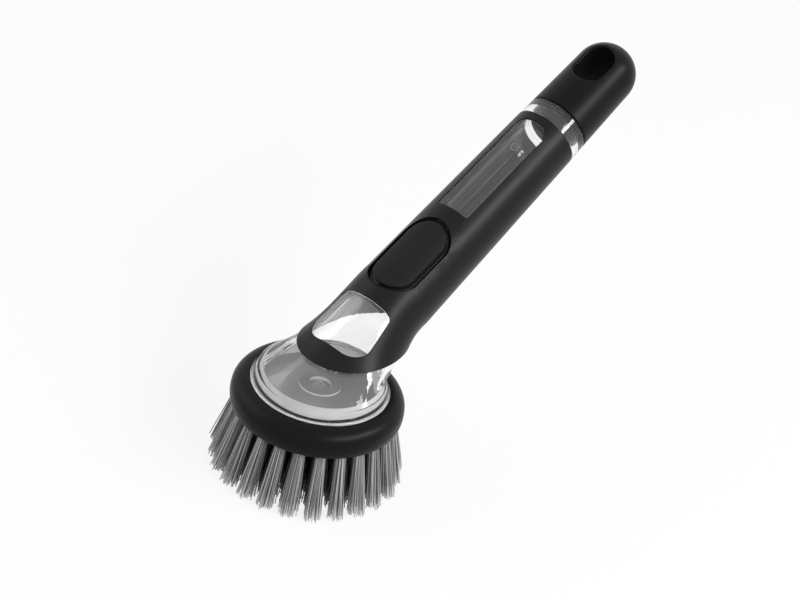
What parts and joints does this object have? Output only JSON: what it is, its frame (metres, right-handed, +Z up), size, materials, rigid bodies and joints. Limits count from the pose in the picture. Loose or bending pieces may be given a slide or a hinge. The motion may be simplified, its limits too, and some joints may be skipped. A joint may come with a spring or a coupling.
{
  "type": "dish wand",
  "caption": "Soap-dispensing dish wand with a clear tank, soft black grip, push button, screw cap with a hanging slot and a round screw-on brush.",
  "frame": {"origin": "middle of the base rectangle of the whole wand, on the plane of the bristle tips", "axes": "+Z up along the brush axis, +X along the handle's level reach towards the end cap, +Y across"},
  "size_m": [0.215, 0.078, 0.144],
  "materials": {
    "clear_plastic": "polished clear moulding",
    "soft_grip": "satin soft-touch",
    "button_rubber": "matte",
    "silicone": "milky silicone",
    "black_plastic": "satin moulding",
    "frosted_plastic": "frosted clear moulding",
    "anchor_wire": "drawn flat wire",
    "nylon_bristle": "grey crimped filament"
  },
  "bodies": {
    "handle": {"tank": "clear_plastic", "handle_sleeve": "soft_grip", "button_membrane": "silicone", "button_frame": "black_plastic", "tank_base": "clear_plastic", "base_seal": "silicone", "outlet_valve": "silicone", "valve_retainer": "frosted_plastic"},
    "button": {"button_pad": "button_rubber"},
    "cap_washer": {"cap_seal": "silicone"},
    "cap": {"end_cap": "black_plastic"},
    "head_washer": {"head_seal": "silicone"},
    "brush": {"brush_head": "black_plastic", "tuft_anchors": "anchor_wire", "tufts_outer": "nylon_bristle", "tufts_second": "nylon_bristle", "tufts_third": "nylon_bristle", "tufts_inner": "nylon_bristle"}
  },
  "joints": [
    {"name": "button_press", "type": "slide", "parent": "handle", "child": "button", "axis": [0.471, 0, -0.8821], "range_m": [0, 0.0022], "stiffness_N_per_m": 1200, "deforming": ["button_membrane"]},
    {"name": "cap_lift", "type": "slide", "parent": "handle", "child": "cap_washer", "axis": [0.8821, 0, 0.471], "range_m": [0, 0.0042]},
    {"name": "cap_turn", "type": "hinge", "parent": "cap_washer", "child": "cap", "pos_m": [-0.0685, 0, 0.04374], "axis": [0.8821, 0, 0.471], "range_deg": [0, 640]},
    {"name": "head_drop", "type": "slide", "parent": "handle", "child": "head_washer", "axis": [0, 0, -1], "range_m": [0, 0.00384]},
    {"name": "head_turn", "type": "hinge", "parent": "head_washer", "child": "brush", "pos_m": [-0.0685, 0, 0.0334], "axis": [0, 0, -1], "range_deg": [0, 585]}
  ],
  "couplings": [
    {"joint": "cap_turn", "follows": "cap_lift", "rad_per_m": 2618},
    {"joint": "head_turn", "follows": "head_drop", "rad_per_m": 2618}
  ]
}
